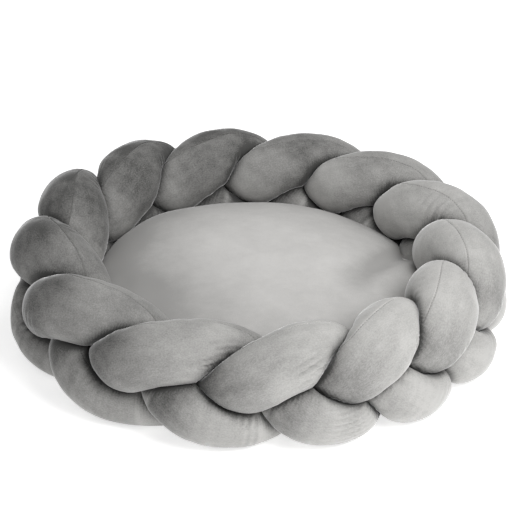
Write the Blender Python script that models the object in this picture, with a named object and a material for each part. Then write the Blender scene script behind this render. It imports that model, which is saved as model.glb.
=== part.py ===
"""Braided pet bed: three stuffed velvet strands plaited into a ring round a loose, domed cushion.

Metres, +Z up. The origin is on the floor, at the middle of the ring. +X is right, -Y is the front.
"""
from math import cos, pi, radians, sin

import bmesh
import bpy
import numpy as np
from mathutils import Matrix

# Ring and plait
RING_RADIUS = 0.2873            # centre of the plait, from the middle of the bed
STRANDS = 3
HUMPS = 13                      # humps on top of the ring, one after the other from all three strands
STRAND_RADIUS = 0.0433          # of one stuffed strand where nothing squeezes it
PLAIT_HEIGHT = 0.0767           # of the plait's middle above the floor
SWING_UP = 0.0425               # how far a strand rises and falls from the plait's middle
SWING_OUT = 0.0195              # how far it swings to the outside and the inside as it crosses
LEAN = radians(-2.1)            # of the whole plait, top towards the middle of the bed
FIRST_HUMP = radians(-107.1)    # where strand 1 crosses the plait's middle on its way up
TURN = 2 * pi
LINE_END = STRANDS * TURN       # the strands, end to end, are one line that goes round three times

# Unevenness of a plait laid by hand: (waves round the ring, sine part, cosine part)
UNEVEN_SPACING = ((1, 0.27, -0.03), (2, -0.01, 0.18), (3, -0.05, 0.02))     # radians of the plait
UNEVEN_SWING = ((1, -0.0010, -0.0020), (2, -0.0030, 0.0075))                # metres
UNEVEN_RADIUS = ((2, -0.0020, 0.0015), (3, 0.0, -0.0020))
UNEVEN_HEIGHT = ((1, 0.0010, -0.0020), (2, -0.0020, -0.0015))

# Velvet tubes and what fills them
VELVET = 0.0012                 # thickness of the cloth
CLEARANCE = 0.0003              # between two faces that touch
STRAND_GAP = 0.0040             # between two strands that press on each other
SECTIONS_PER_HUMP = 14
SIDES = 10
SKIP = 0.45                     # radians of line each way that count as a strand's own stretch
FINER = 4                       # the squeeze is worked out at this many places for each vertex
NECK = 0.76                     # share of its radius that a strand keeps where its end is gathered
NECK_LENGTH = 0.16              # radians of line over which it narrows
JOIN_PHASE = -pi / 4            # the ends meet where a strand dives under the next one
HUMPS_BEFORE_JOIN = (0, 4, 9)   # staggered joins, so that two strands are 4 humps long and one is 5
FIRST_JOIN = radians(-58)       # the first join is the one nearest this angle

# Whip stitches over each join
STITCHES = 14
THREAD_RADIUS = 0.0009
STITCH_REACH = 0.009            # radians of line to each side of the join

# Base cloth
BASE_RADIUS = 0.278
BASE_THICKNESS = 0.0020

# Cushion
CROWN_HEIGHT = 0.116
BULGE_HEIGHT = 0.070            # where the cushion is widest
CUSHION_WALL_GAP = 0.0030
SEAM_HEIGHT = 0.030
SEAM_RADIUS = 0.208
SEAM_FLAT = 0.0095              # upright margin above and below the seam, where the zip lies
SEAM_OPENING = 0.0008           # between the edges of the top and bottom panels
UNDERSIDE_RADIUS = 0.190
CUSHION_SIDES = 44
DOME_RINGS = 6
DOME_POWER = 2.7
SIDE_RINGS = 3

# Zip round the back of the cushion's seam
ZIP_START = radians(38)
ZIP_SWEEP = radians(104)
ZIP_STEPS = 26
TAPE_WIDTH = 0.0085
TAPE_THICKNESS = 0.0006
TAPE_RADIUS = (SEAM_RADIUS - VELVET) * cos(pi / CUSHION_SIDES) - CLEARANCE    # outer face
COIL_WIDTH = 0.0022
COIL_THICKNESS = 0.0016
COIL_GAP = 0.0003               # between the two coils
COIL_RADIUS = SEAM_RADIUS + CLEARANCE           # inner face of the coils
STOP_LENGTH = 0.003
SLIDER_LENGTH = 0.010
SLIDER_WALL = 0.0010
SLIDER_CLEARANCE = 0.0004
SLIDER_RADIUS = COIL_RADIUS + COIL_THICKNESS + SLIDER_CLEARANCE     # inner face of its plate
PULL_WIDTH = 0.0060
PULL_LENGTH = 0.0150
PULL_THICKNESS = 0.0010
PIN_RADIUS = 0.0006
EYE_RADIUS = 0.0016             # outside of the pull's rolled eye
PIN_CENTRE = SLIDER_RADIUS + SLIDER_WALL + CLEARANCE + EYE_RADIUS    # from the bed's middle
LUG_THICKNESS = 0.0010

VELVET_GREY = (0.46, 0.455, 0.44)
CUSHION_GREY = (0.60, 0.595, 0.575)


# ---------------------------------------------------------------- helpers

def make_material(name, colour, roughness, metallic=0.0):
    """A Principled material."""
    material = bpy.data.materials.new(name)
    material.use_nodes = True
    shader = material.node_tree.nodes["Principled BSDF"]
    shader.inputs["Base Color"].default_value = (*colour, 1.0)
    shader.inputs["Roughness"].default_value = roughness
    shader.inputs["Metallic"].default_value = metallic
    return material


def add_object(name, bm, material, smooth=True):
    """Turn a bmesh into a named object with its faces pointing out."""
    bmesh.ops.recalc_face_normals(bm, faces=bm.faces)
    mesh = bpy.data.meshes.new(name)
    bm.to_mesh(mesh)
    bm.free()
    if smooth:
        mesh.shade_smooth()
        mesh.set_sharp_from_angle(angle=radians(50))
    if material:
        mesh.materials.append(material)
    thing = bpy.data.objects.new(name, mesh)
    bpy.context.collection.objects.link(thing)
    return thing


def add_rings(bm, rings):
    """Add rows of points as rings of vertices."""
    return [[bm.verts.new(point) for point in ring] for ring in rings]


def skin(bm, rings, folds=None):
    """Join each ring of vertices to the next one, with every quad cut along a diagonal.

    Layers of cloth are cut alike, so they stay parallel where the surface twists. Where a quad's
    fold is true, its diagonal runs the other way.
    """
    for row, (near, far) in enumerate(zip(rings, rings[1:])):
        count = len(near)
        for i in range(count):
            j = (i + 1) % count
            if folds is not None and folds[row][i]:
                bm.faces.new((near[j], far[j], far[i]))
                bm.faces.new((near[j], far[i], near[i]))
            else:
                bm.faces.new((near[i], near[j], far[j]))
                bm.faces.new((near[i], far[j], far[i]))


def solid_loft(name, rings, material, folds=None):
    """A solid through a row of rings, with a flat cap at each end."""
    bm = bmesh.new()
    rings = add_rings(bm, rings)
    skin(bm, rings, folds)
    bm.faces.new(rings[0])
    bm.faces.new(rings[-1])
    return add_object(name, bm, material)


def sleeve(name, outer, inner, material, folds=None):
    """A cloth tube with open ends: an outer and an inner skin joined along both edges."""
    bm = bmesh.new()
    outer = add_rings(bm, outer)
    inner = add_rings(bm, inner)
    skin(bm, outer, folds)
    skin(bm, inner, folds)
    for end in (0, -1):
        skin(bm, [outer[end], inner[end]])
    return add_object(name, bm, material)


def block(bm, low, high):
    """Add a box between two corners."""
    centre = (np.array(low) + np.array(high)) / 2
    size = np.array(high) - np.array(low)
    made = bmesh.ops.create_cube(bm, size=1.0)
    bmesh.ops.scale(bm, vec=size, verts=made["verts"])
    bmesh.ops.translate(bm, vec=centre, verts=made["verts"])
    return made["verts"]


# ---------------------------------------------------------------- plait

def waves(angle, terms):
    """Sum of sine and cosine waves round the ring."""
    return sum(s * np.sin(n * angle) + c * np.cos(n * angle) for n, s, c in terms)


def plait_phase(line):
    """Phase of the weave along the line: zero where a strand crosses the middle on its way up."""
    return HUMPS / STRANDS * (line - FIRST_HUMP) + waves(line, UNEVEN_SPACING)


def strand_centre(line):
    """Centre of the strands at an angle along the line."""
    phase = plait_phase(line)
    up = (SWING_UP + waves(line, UNEVEN_SWING)) * np.sin(phase)
    out = SWING_OUT * np.sin(2 * phase)
    radius = RING_RADIUS + waves(line, UNEVEN_RADIUS) + out * cos(LEAN) + up * sin(LEAN)
    height = PLAIT_HEIGHT + waves(line, UNEVEN_HEIGHT) + up * cos(LEAN) - out * sin(LEAN)
    return np.stack([radius * np.cos(line), radius * np.sin(line), height], -1)


def unit(vectors):
    return vectors / np.linalg.norm(vectors, axis=-1, keepdims=True)


def section_frames(line):
    """Centre, outward direction and upward direction of the strand's cross-sections."""
    step = 1e-4
    centre = strand_centre(line)
    along = unit(strand_centre(line + step) - centre)
    radial = np.stack([np.cos(line), np.sin(line), 0 * line], -1)
    outward = unit(radial - (radial * along).sum(-1, keepdims=True) * along)
    return centre, outward, np.cross(along, outward)


LINE_SAMPLES = np.linspace(0, LINE_END, 1080, endpoint=False)
CENTRE_SAMPLES = strand_centre(LINE_SAMPLES)


def pressed_radius(line, centre, directions):
    """Radius of a strand in each direction: round, but flat where it presses on something.

    It is flat halfway to each strand that it presses on, and on the base cloth.
    """
    radius = np.full(directions.shape[:2], STRAND_RADIUS)
    for i, position in enumerate(line):
        away = np.abs((LINE_SAMPLES - position + LINE_END / 2) % LINE_END - LINE_END / 2)
        others = CENTRE_SAMPLES[away > SKIP] - centre[i]
        others = others[np.linalg.norm(others, axis=1) < 4 * STRAND_RADIUS]
        distance = np.linalg.norm(others, axis=1)
        facing = directions[i] @ (others / distance[:, None]).T
        halfway = (distance - STRAND_GAP) / 2
        limit = np.where(facing > 0.05, halfway / np.maximum(facing, 0.05), 1.0).min(axis=1)
        radius[i] = np.minimum(radius[i], limit)
    room_below = centre[:, 2:] - BASE_THICKNESS - CLEARANCE
    drop = np.maximum(-directions[..., 2], 0.05)
    return np.minimum(radius, room_below / drop)


def section_directions(outward, upward, count):
    """Directions round each cross-section, from its outward side."""
    angle = np.arange(count) * TURN / count
    return (outward[:, None] * np.cos(angle)[None, :, None]
            + upward[:, None] * np.sin(angle)[None, :, None])


def vertex_radius(line):
    """Radius at each vertex: the least that the strand has there and close by.

    Flat faces between such vertices stay out of the neighbouring strands.
    """
    places = np.arange((len(line) - 1) * FINER + 1)
    fine_line = np.interp(places / FINER, np.arange(len(line)), line)
    centre, outward, upward = section_frames(fine_line)
    fine = pressed_radius(fine_line, centre, section_directions(outward, upward, SIDES * FINER))
    least = fine.copy()
    for along in (-1, 0, 1):
        rows = np.clip(places + along, 0, len(places) - 1)
        for turned in (-1, 0, 1):
            least = np.minimum(least, np.roll(fine[rows], turned, axis=1))
    return least[::FINER, ::FINER]


def inward_folds(radius):
    """Which quads of a strand have to fold along their second diagonal to fold inwards.

    A face pressed flat by a strand that crosses it is twisted; folded inwards, it stays clear.
    """
    next_along, next_round = radius[1:], np.roll(radius, -1, axis=1)
    return radius[:-1] + next_round[1:] > next_along + next_round[:-1]


def join_positions():
    """Angles along the line where one strand's end is sewn to the next one's start."""
    line = np.linspace(0, LINE_END, 36000, endpoint=False)
    turns = (plait_phase(line) - JOIN_PHASE) / TURN
    dives = line[1:][np.floor(turns[1:]) > np.floor(turns[:-1])]
    around = (dives - FIRST_JOIN + pi) % TURN - pi
    first = int(np.argmin(np.abs(around)))
    joins = []
    for humps in HUMPS_BEFORE_JOIN:
        index = first + humps
        joins.append(dives[index % HUMPS] + LINE_END * (index // HUMPS))
    return joins


def neck_share(line, joins):
    """Share of its radius that a strand has, which drops at each gathered end."""
    share = np.ones_like(line)
    for join in joins:
        away = np.abs((line - join + LINE_END / 2) % LINE_END - LINE_END / 2)
        share -= (1 - NECK) * np.exp(-(away / NECK_LENGTH) ** 2)
    return share


def strand_rings(line, radius, inset):
    """Rings of points round a strand, a distance inside its outer face."""
    centre, outward, upward = section_frames(line)
    directions = section_directions(outward, upward, SIDES)
    return centre[:, None] + directions * (radius - inset)[..., None]


def build_strands(velvet, fibre):
    """The three velvet tubes and their fillings; returns the points of their outer faces."""
    joins = join_positions()
    faces = []
    end_gap = CLEARANCE / RING_RADIUS
    for number in range(STRANDS):
        start = joins[number]
        end = joins[(number + 1) % STRANDS] + (LINE_END if number == STRANDS - 1 else 0)
        humps = round((plait_phase(end) - plait_phase(start)) / TURN)
        line = np.linspace(start + end_gap, end - end_gap, humps * SECTIONS_PER_HUMP + 1)
        radius = vertex_radius(line) * neck_share(line, joins)[:, None]
        folds = inward_folds(radius)
        outer = strand_rings(line, radius, 0.0)
        inner = strand_rings(line, radius, VELVET)
        core = strand_rings(line, radius, VELVET + 2 * CLEARANCE)
        sleeve(f"strand_{number + 1}_velvet_tube", outer, inner, velvet, folds)
        solid_loft(f"strand_{number + 1}_fibre_filling", core, fibre, folds)
        faces.append(outer.reshape(-1, 3))
    return joins, np.concatenate(faces)


def build_join_stitches(joins, thread):
    """Whip stitches that zigzag over each place where two strand ends meet."""
    for number, join in enumerate(joins):
        count = 2 * STITCHES
        turn = np.arange(count) * TURN / count
        side = np.where(np.arange(count) % 2, 1.0, -1.0) * STITCH_REACH
        line = join + side
        centre, outward, upward = section_frames(line)
        facing = outward * np.cos(turn)[:, None] + upward * np.sin(turn)[:, None]
        radius = pressed_radius(line, centre, facing[:, None])[:, 0] * neck_share(line, joins)
        path = centre + facing * (radius + THREAD_RADIUS + 2 * CLEARANCE)[:, None]
        thread_rings = []
        for i in range(count):
            along = unit(path[(i + 1) % count] - path[i - 1])
            across = unit(np.cross(along, facing[i]))
            lift = np.cross(across, along)
            ring = [path[i] + THREAD_RADIUS * (cos(a) * across + sin(a) * lift)
                    for a in np.arange(4) * TURN / 4]
            thread_rings.append(ring)
        bm = bmesh.new()
        rings = add_rings(bm, thread_rings)
        skin(bm, rings + rings[:1])
        add_object(f"strand_join_{number + 1}_stitching", bm, thread)


# ---------------------------------------------------------------- base cloth

def build_base(cloth):
    """The non-slip cloth under the ring and the cushion."""
    bm = bmesh.new()
    made = bmesh.ops.create_cone(bm, cap_ends=True, segments=64, radius1=BASE_RADIUS,
                                 radius2=BASE_RADIUS, depth=BASE_THICKNESS)
    bmesh.ops.translate(bm, vec=(0, 0, BASE_THICKNESS / 2), verts=made["verts"])
    add_object("base_cloth", bm, cloth)


# ---------------------------------------------------------------- cushion

def wall_radius(angle, wall):
    """Distance from the middle of the bed to the ring's inner wall, at and near an angle."""
    around = np.arctan2(wall[:, 1], wall[:, 0])
    distance = np.hypot(wall[:, 0], wall[:, 1])
    near = np.abs((around - angle + pi) % TURN - pi) < radians(6)
    above = wall[:, 2] > SEAM_HEIGHT
    return distance[near & above].min()


def cushion_outline(wall):
    """Radius of the cushion's widest line, pressed out against the strands."""
    angles = np.arange(CUSHION_SIDES) * TURN / CUSHION_SIDES
    radius = np.array([wall_radius(angle, wall) for angle in angles])
    smooth = (np.roll(radius, 1) + 2 * radius + np.roll(radius, -1)) / 4
    return angles, np.minimum(radius, smooth) - CUSHION_WALL_GAP


def ring_points(angles, radius, height):
    """A level ring of points; the radius may change from point to point."""
    radius = np.broadcast_to(radius, angles.shape)
    return np.stack([radius * np.cos(angles), radius * np.sin(angles),
                     np.full(len(angles), height)], -1)


def cushion_rings(angles, outline, inset, seam_shift=0.0):
    """Rings of the cushion's top from the seam over the bulge to the crown."""
    rings = [ring_points(angles, SEAM_RADIUS - inset, SEAM_HEIGHT + seam_shift)]
    lowest = SEAM_HEIGHT + SEAM_FLAT
    for i in range(SIDE_RINGS):
        swell = sin(i / SIDE_RINGS * pi / 2) ** 0.8
        height = lowest + (BULGE_HEIGHT - lowest) * i / SIDE_RINGS
        radius = SEAM_RADIUS + (outline - SEAM_RADIUS) * swell - inset
        rings.append(ring_points(angles, radius, height))
    for i in range(DOME_RINGS):
        reach = cos(i / DOME_RINGS * pi / 2) ** 0.8
        level = 1 - reach ** 4
        height = BULGE_HEIGHT + (CROWN_HEIGHT - BULGE_HEIGHT) * (1 - reach ** DOME_POWER) ** 0.75
        radius = (outline - inset * (1 - level)) * reach
        rings.append(ring_points(angles, radius, height - inset * level))
    rings.append(ring_points(angles, outline * 0.06, CROWN_HEIGHT - inset))
    return rings


def underside_rings(angles, inset, seam_shift=0.0):
    """Rings of the cushion's underside from the seam down and in to its flat bottom."""
    floor = BASE_THICKNESS + CLEARANCE + inset
    corner = SEAM_HEIGHT - SEAM_FLAT
    radius = SEAM_RADIUS - inset
    rings = [ring_points(angles, radius, SEAM_HEIGHT + seam_shift)]
    for i in range(4):
        turn = i / 3 * pi / 2
        rings.append(ring_points(angles, UNDERSIDE_RADIUS + (radius - UNDERSIDE_RADIUS) * cos(turn),
                                 floor + (corner - floor) * (1 - sin(turn))))
    rings.append(ring_points(angles, 0.012, floor))
    return rings


def build_panel(name, outer, inner, material):
    """One cloth panel: two skins joined along the seam, each closed in the middle."""
    bm = bmesh.new()
    outer = add_rings(bm, outer)
    inner = add_rings(bm, inner)
    skin(bm, outer)
    skin(bm, inner)
    skin(bm, [outer[0], inner[0]])
    bm.faces.new(outer[-1])
    bm.faces.new(inner[-1])
    return add_object(name, bm, material)


def build_cushion(wall, parent, velvet, lining, fibre):
    """The cushion's top panel, bottom panel and filling."""
    angles, outline = cushion_outline(wall)
    shift = SEAM_OPENING / 2
    tape_inside = (TAPE_RADIUS - TAPE_THICKNESS) * cos(ZIP_SWEEP / ZIP_STEPS / 2)
    core_inset = SEAM_RADIUS - tape_inside + CLEARANCE
    top = build_panel("cushion_top_panel", cushion_rings(angles, outline, 0.0, shift),
                      cushion_rings(angles, outline, VELVET, shift), velvet)
    bottom = build_panel("cushion_bottom_panel", underside_rings(angles, 0.0, -shift),
                         underside_rings(angles, VELVET, -shift), lining)
    core = (underside_rings(angles, core_inset)[:0:-1]
            + cushion_rings(angles, outline, core_inset))
    filling = solid_loft("cushion_fibre_filling", core, fibre)
    for piece in (top, bottom, filling):
        piece.parent = parent


# ---------------------------------------------------------------- zip

def arc_sweep(name, start, sweep, profile, material, steps=ZIP_STEPS):
    """A profile of (distance from the middle, height) carried round the cushion's seam."""
    rings = []
    for i in range(steps + 1):
        angle = start + sweep * i / steps
        rings.append([(r * cos(angle), r * sin(angle), z) for r, z in profile])
    return solid_loft(name, rings, material)


def oblong(inner, outer, low, high):
    """The corners of an upright rectangle."""
    return (inner, low), (outer, low), (outer, high), (inner, high)


def build_zip(parent, tape, coil, metal):
    """Tapes behind the panels, a coil on each side of the seam, and the end stops."""
    half_gap = COIL_GAP / 2
    coil_outer = COIL_RADIUS + COIL_THICKNESS
    pieces = []
    for name, side in (("lower", -1), ("upper", 1)):
        near, far = sorted((SEAM_HEIGHT + side * half_gap,
                            SEAM_HEIGHT + side * (half_gap + COIL_WIDTH)))
        pieces.append(arc_sweep(f"zip_{name}_coil", ZIP_START, ZIP_SWEEP,
                                oblong(COIL_RADIUS, coil_outer, near, far), coil))
        near, far = sorted((SEAM_HEIGHT + side * half_gap, SEAM_HEIGHT + side * TAPE_WIDTH))
        pieces.append(arc_sweep(f"zip_{name}_tape", ZIP_START, ZIP_SWEEP,
                                oblong(TAPE_RADIUS - TAPE_THICKNESS, TAPE_RADIUS, near, far), tape))
    stop_sweep = STOP_LENGTH / SEAM_RADIUS
    gap = CLEARANCE / SEAM_RADIUS
    reach = half_gap + COIL_WIDTH
    for name, start in (("zip_top_stop", ZIP_START - stop_sweep - gap),
                        ("zip_bottom_stop", ZIP_START + ZIP_SWEEP + gap)):
        profile = oblong(COIL_RADIUS, coil_outer, SEAM_HEIGHT - reach, SEAM_HEIGHT + reach)
        pieces.append(arc_sweep(name, start, stop_sweep, profile, metal, steps=1))
    for piece in pieces:
        piece.parent = parent


def cylinder(bm, radius, length, sides=12):
    """Add a cylinder along X, centred on the origin."""
    made = bmesh.ops.create_cone(bm, cap_ends=True, segments=sides, radius1=radius,
                                 radius2=radius, depth=length)
    bmesh.ops.rotate(bm, verts=made["verts"], matrix=Matrix.Rotation(pi / 2, 3, "Y"))


def helper(name, bm):
    """A hidden object that another one is joined to or cut by."""
    thing = add_object(name, bm, None, smooth=False)
    thing.hide_render = True
    thing.display_type = "WIRE"
    return thing


def combine(target, other, operation):
    """Join a helper to an object, or cut it out."""
    boolean = target.modifiers.new(other.name, "BOOLEAN")
    boolean.operation = operation
    boolean.object = other
    boolean.solver = "EXACT"


def build_slider(parent, metal):
    """The slider, a channel over both coils with two lugs and a pin, and the pull on the pin.

    Both are modelled at the end of the zip, with the pull's local X along the seam.
    """
    start = ZIP_START + (SLIDER_LENGTH / 2 + SLIDER_CLEARANCE) / SEAM_RADIUS
    outer = SLIDER_RADIUS + SLIDER_WALL
    inner_high = COIL_GAP / 2 + COIL_WIDTH + SLIDER_CLEARANCE
    outer_high = inner_high + SLIDER_WALL
    channel = [(COIL_RADIUS, -outer_high), (outer, -outer_high), (outer, outer_high),
               (COIL_RADIUS, outer_high), (COIL_RADIUS, inner_high), (SLIDER_RADIUS, inner_high),
               (SLIDER_RADIUS, -inner_high), (COIL_RADIUS, -inner_high)]
    sweep = SLIDER_LENGTH / SEAM_RADIUS
    slider = arc_sweep("zip_slider", start - sweep / 2, sweep,
                       [(r, SEAM_HEIGHT + z) for r, z in channel], metal, steps=4)
    slider.parent = parent

    place = (PIN_CENTRE * cos(start), PIN_CENTRE * sin(start), SEAM_HEIGHT)
    along_seam = start + pi / 2
    depth = PIN_CENTRE - outer + SLIDER_WALL / 2
    lug_face = PULL_WIDTH / 2 + CLEARANCE
    bm = bmesh.new()
    for side in (-1, 1):
        near, far = sorted((side * lug_face, side * (lug_face + LUG_THICKNESS)))
        block(bm, (near, -EYE_RADIUS, -EYE_RADIUS), (far, depth, EYE_RADIUS))
    lugs = helper("slider_lugs", bm)
    bm = bmesh.new()
    cylinder(bm, PIN_RADIUS, 2 * lug_face + LUG_THICKNESS)
    pin = helper("slider_pin", bm)
    for thing in (lugs, pin):
        thing.location = place
        thing.rotation_euler = (0, 0, along_seam)
        combine(slider, thing, "UNION")

    bm = bmesh.new()
    cylinder(bm, EYE_RADIUS, PULL_WIDTH)
    pull = add_object("zip_pull", bm, metal)
    bm = bmesh.new()
    half = PULL_WIDTH / 2 - CLEARANCE
    front = -0.85 * EYE_RADIUS
    block(bm, (-half, front, -PULL_LENGTH), (half, front + PULL_THICKNESS, -0.3 * EYE_RADIUS))
    tab = helper("pull_tab", bm)
    bm = bmesh.new()
    cylinder(bm, PIN_RADIUS + CLEARANCE, 2 * PULL_WIDTH)
    eye = helper("pull_eye", bm)
    for thing in (pull, tab, eye):
        thing.location = place
        thing.rotation_euler = (0, 0, along_seam)
    combine(pull, tab, "UNION")
    combine(pull, eye, "DIFFERENCE")
    pull.parent = parent


def main():
    for thing in list(bpy.data.objects):
        bpy.data.objects.remove(thing, do_unlink=True)
    velvet = make_material("strand_velvet", VELVET_GREY, 0.85)
    fibre = make_material("polyester_fibre", (0.9, 0.9, 0.88), 0.95)
    thread = make_material("sewing_thread", (0.2, 0.198, 0.19), 0.7)
    cloth = make_material("base_cloth", (0.3, 0.3, 0.3), 0.9)
    joins, wall = build_strands(velvet, fibre)
    build_join_stitches(joins, thread)
    build_base(cloth)
    cushion = bpy.data.objects.new("cushion_lift", None)
    bpy.context.collection.objects.link(cushion)
    cushion_velvet = make_material("cushion_velvet", CUSHION_GREY, 0.85)
    lining = make_material("cushion_lining", CUSHION_GREY, 0.9)
    build_cushion(wall, cushion, cushion_velvet, lining, fibre)
    tape = make_material("zip_tape", (0.5, 0.5, 0.49), 0.9)
    coil = make_material("zip_coil", (0.5, 0.5, 0.5), 0.5)
    metal = make_material("zip_metal", (0.6, 0.6, 0.6), 0.3, 1.0)
    build_zip(cushion, tape, coil, metal)
    build_slider(cushion, metal)


main()
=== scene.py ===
"""Looks of the plaited pet bed: velvet strands, the domed cushion, its zip, and the studio."""
from math import cos, pi, radians, sin

import bpy
import numpy as np
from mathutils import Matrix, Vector
from mathutils.bvhtree import BVHTree


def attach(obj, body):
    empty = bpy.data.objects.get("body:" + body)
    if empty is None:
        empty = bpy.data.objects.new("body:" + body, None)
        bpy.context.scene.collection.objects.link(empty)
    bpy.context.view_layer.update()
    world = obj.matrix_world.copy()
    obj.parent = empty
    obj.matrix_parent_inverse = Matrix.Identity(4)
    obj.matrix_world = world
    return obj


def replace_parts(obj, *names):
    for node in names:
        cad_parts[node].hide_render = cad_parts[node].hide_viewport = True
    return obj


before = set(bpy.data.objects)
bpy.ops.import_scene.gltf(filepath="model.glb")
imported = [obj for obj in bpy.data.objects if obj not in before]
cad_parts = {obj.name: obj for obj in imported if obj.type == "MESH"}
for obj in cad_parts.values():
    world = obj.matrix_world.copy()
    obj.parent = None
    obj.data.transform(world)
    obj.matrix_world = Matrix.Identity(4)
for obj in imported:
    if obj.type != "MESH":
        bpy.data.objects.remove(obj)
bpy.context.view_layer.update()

TURN = 2 * pi
MM = 0.001

# ---------------- plait, as in the CAD model
RING_RADIUS = 0.2873
STRANDS = 3
HUMPS = 13
STRAND_RADIUS = 0.0433
PLAIT_HEIGHT = 0.0767
SWING_UP = 0.0425
SWING_OUT = 0.0195
LEAN = radians(-2.1)
FIRST_HUMP = radians(-107.1)
LINE_END = STRANDS * TURN
UNEVEN_SPACING = ((1, 0.27, -0.03), (2, -0.01, 0.18), (3, -0.05, 0.02))
UNEVEN_SWING = ((1, -0.0010, -0.0020), (2, -0.0030, 0.0075))
UNEVEN_RADIUS = ((2, -0.0020, 0.0015), (3, 0.0, -0.0020))
UNEVEN_HEIGHT = ((1, 0.0010, -0.0020), (2, -0.0020, -0.0015))
SKIP = 0.45
NECK = 0.80
NECK_LENGTH = 0.10
JOIN_PHASE = -pi / 4
HUMPS_BEFORE_JOIN = (0, 4, 9)
FIRST_JOIN = radians(-58)

# Fibre lumps of a strand: (share of its radius, waves along and where they start, waves round, start)
BROAD_LUMPS = ((0.012, 3.1, 1.3, 1, -0.6), (0.010, 5.3, 0.4, 2, 1.1), (0.007, 8.7, 2.2, 3, 0.3))
# Smaller ones: (length along the strand, height, waves round, start), metres
SMALL_LUMPS = ((0.071, 0.45 * MM, 2, 0.3), (0.047, 0.35 * MM, 3, 1.9), (0.033, 0.28 * MM, -4, 4.0),
               (0.024, 0.16 * MM, 6, 2.6), (0.0171, 0.10 * MM, -8, 0.9))
LUMP_DRIFT = (1.7, 7)  # their spacing drifts by so many radians, so often along the line

# Velvet surface
ROWS_PER_HUMP = 126
COLUMNS = 56
FINE_SIDES = (0.085, 0.075)  # cloth outside and inside of the seam that shows, with finer columns
FINE_STEP = 0.0023
PLAIN_STEP = 0.0060
SEAM_COLUMNS = (0, 0.0006, 0.0012, 0.0019, 0.0028, 0.0040, 0.0058)  # metres to each side of it
LENGTH_PER_RADIAN = 0.335  # of strand, which swings up and down as it goes round
LIMIT_COLUMNS = 72  # directions in which the room between the strands is worked out
TOUCH_GAP = 0.4 * MM
FLOOR_CLEAR = 2.4 * MM  # underside of the strands, on the base cloth
VELVET_THICK = 3.5 * MM  # from the pile's tips to the fibre
FILLING_STEP = 6
SOFT_CORNER = 11  # higher is a tighter crease between strands
NEIGHBOUR_REACH = 4 * STRAND_RADIUS
LEAST_FACING = 0.05  # cosine below which a neighbour isn't in the way

# Cloth simulation of the velvet
CLOTH_STEPS = 90
PRESSURE = 0.16 * MM  # push of the fibre in one step
CUT_ALONG = (0.55, 0.47)  # flat length, as shares of the drawn tube's and of its middle line's
CUT_AROUND = (0.45, 0.55)  # flat width, as shares of the drawn tube's and of a round one's
STRETCH_HOLD = 0.9
BEND_ALONG = (3, 2.75, 0.22)  # points apart, least distance in flat lengths, stiffness
BEND_AROUND = (2, 1.85, 0.15)
EVEN_EVERY = 3
EVEN_OUT = 0.10
SLIP_KEPT = 0.98
FARTHEST = 11 * MM  # that the cloth may move from its drawn place

# Long seam of each tube
SEAM_DEPTH = 1.0 * MM
SEAM_WIDTH = 0.8 * MM
ALLOWANCE = (0.15 * MM, 2.7 * MM, 1.3 * MM)  # ridge of the turned-in cloth: height, place, width
STITCH_PULL = (0.15 * MM, 3.5 * MM)  # rise and fall between stitches: height, width
STITCH_SPACING = 4.5 * MM
STITCH_LENGTH = 3.3 * MM
THREAD_RADIUS = 0.28 * MM
THREAD_LIFT = 0.25 * MM
THREAD_ENDS = (8 * MM, 10 * MM)  # bare ends of the seam, before and after its stitches

# Lay of the pile, with painted light and shade
PILE_AND_PAINTED_LIGHT = (0.30, 0.85, -0.40)  # painted light and shade, partly the pile's lay: strands are lighter where they run this way, as if lit from front and right
CREASE_REACH = 5.0 * MM  # how far from its neighbours a strand is darkened by painted crease shade
CREASE_SHADE = 0.68

# Where one strand's end is sewn to the next one's start
JOIN_PLEATS = 15
JOIN_PLEAT_HEIGHT = 1.5 * MM
JOIN_PLEAT_LENGTH = 0.030
JOIN_DEPTH = 2.2 * MM
JOIN_WIDTH = 2.6 * MM
WHIP_STITCHES = 22
WHIP_ROWS = 3  # that a stitch reaches to each side of the join
WHIP_SLANT = 0.8
WHIP_LIFT = (0.9 * MM, 0.1 * MM)  # of its middle and its ends, over the velvet
WHIP_THREAD = 1.7 * THREAD_RADIUS

# Gathers. Each hump has these: (degrees of the plait, degrees round the strand, run of the folds,
# reach along and round the strand, width of a fold, height), millimetres
HUMP_GATHERS = (
    (118, 318, "lengthways", 19, 14, 8, 1.8),
    (104, 350, "lengthways", 15, 12, 6.8, 1.4),
    (74, 216, "crossways", 20, 13, 10.5, 1.7),
    (250, 332, "crossways", 13, 15, 9, 1.8),
    (212, 330, "lengthways", 18, 16, 7, 1.5),
    (300, 335, "lengthways", 18, 14, 8, 1.6),
    (42, 5, "crossways", 16, 12, 8.5, 1.2),
)
GATHER_SCATTER = (7, 9)  # standard deviations, degrees of the plait and round the strand
GATHER_STRENGTH = (0.55, 0.4)  # share of the height, and its spread
GATHER_LIFT = 0.6
LENGTHWAYS_SLANT = 0.25
CROSSWAYS_SLANT = 0.3
# The deepest ones: (radians along the line, then as above)
STRONG_GATHERS = (
    (4.51, 310, "lengthways", 22, 10, 8.2, 5.5),
    (4.45, 341, "lengthways", 21, 11, 7.5, 5.5),
    (17.44, 338, "lengthways", 20, 12, 9, 5.5),
    (17.40, 2, "lengthways", 14, 10, 8, 3),
    (11.60, 350, "crossways", 28, 10, 10.5, 2.6),
    (10.90, 334, "crossways", 13, 20, 8.5, 3.6),
    (5.03, 350, "lengthways", 30, 22, 8, 3.4),
    (12.87, 222, "crossways", 24, 17, 11.5, 3.8),
    (7.09, 216, "crossways", 18, 13, 10, 2.8),
    (1.37, 196, "crossways", 15, 12, 9, 2.4),
    (3.42, 325, "crossways", 14, 14, 11, 3),
    (18.05, 330, "crossways", 14, 14, 9, 2.6),
    (16.54, 324, "crossways", 12, 12, 8.5, 2.2),
)

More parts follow.
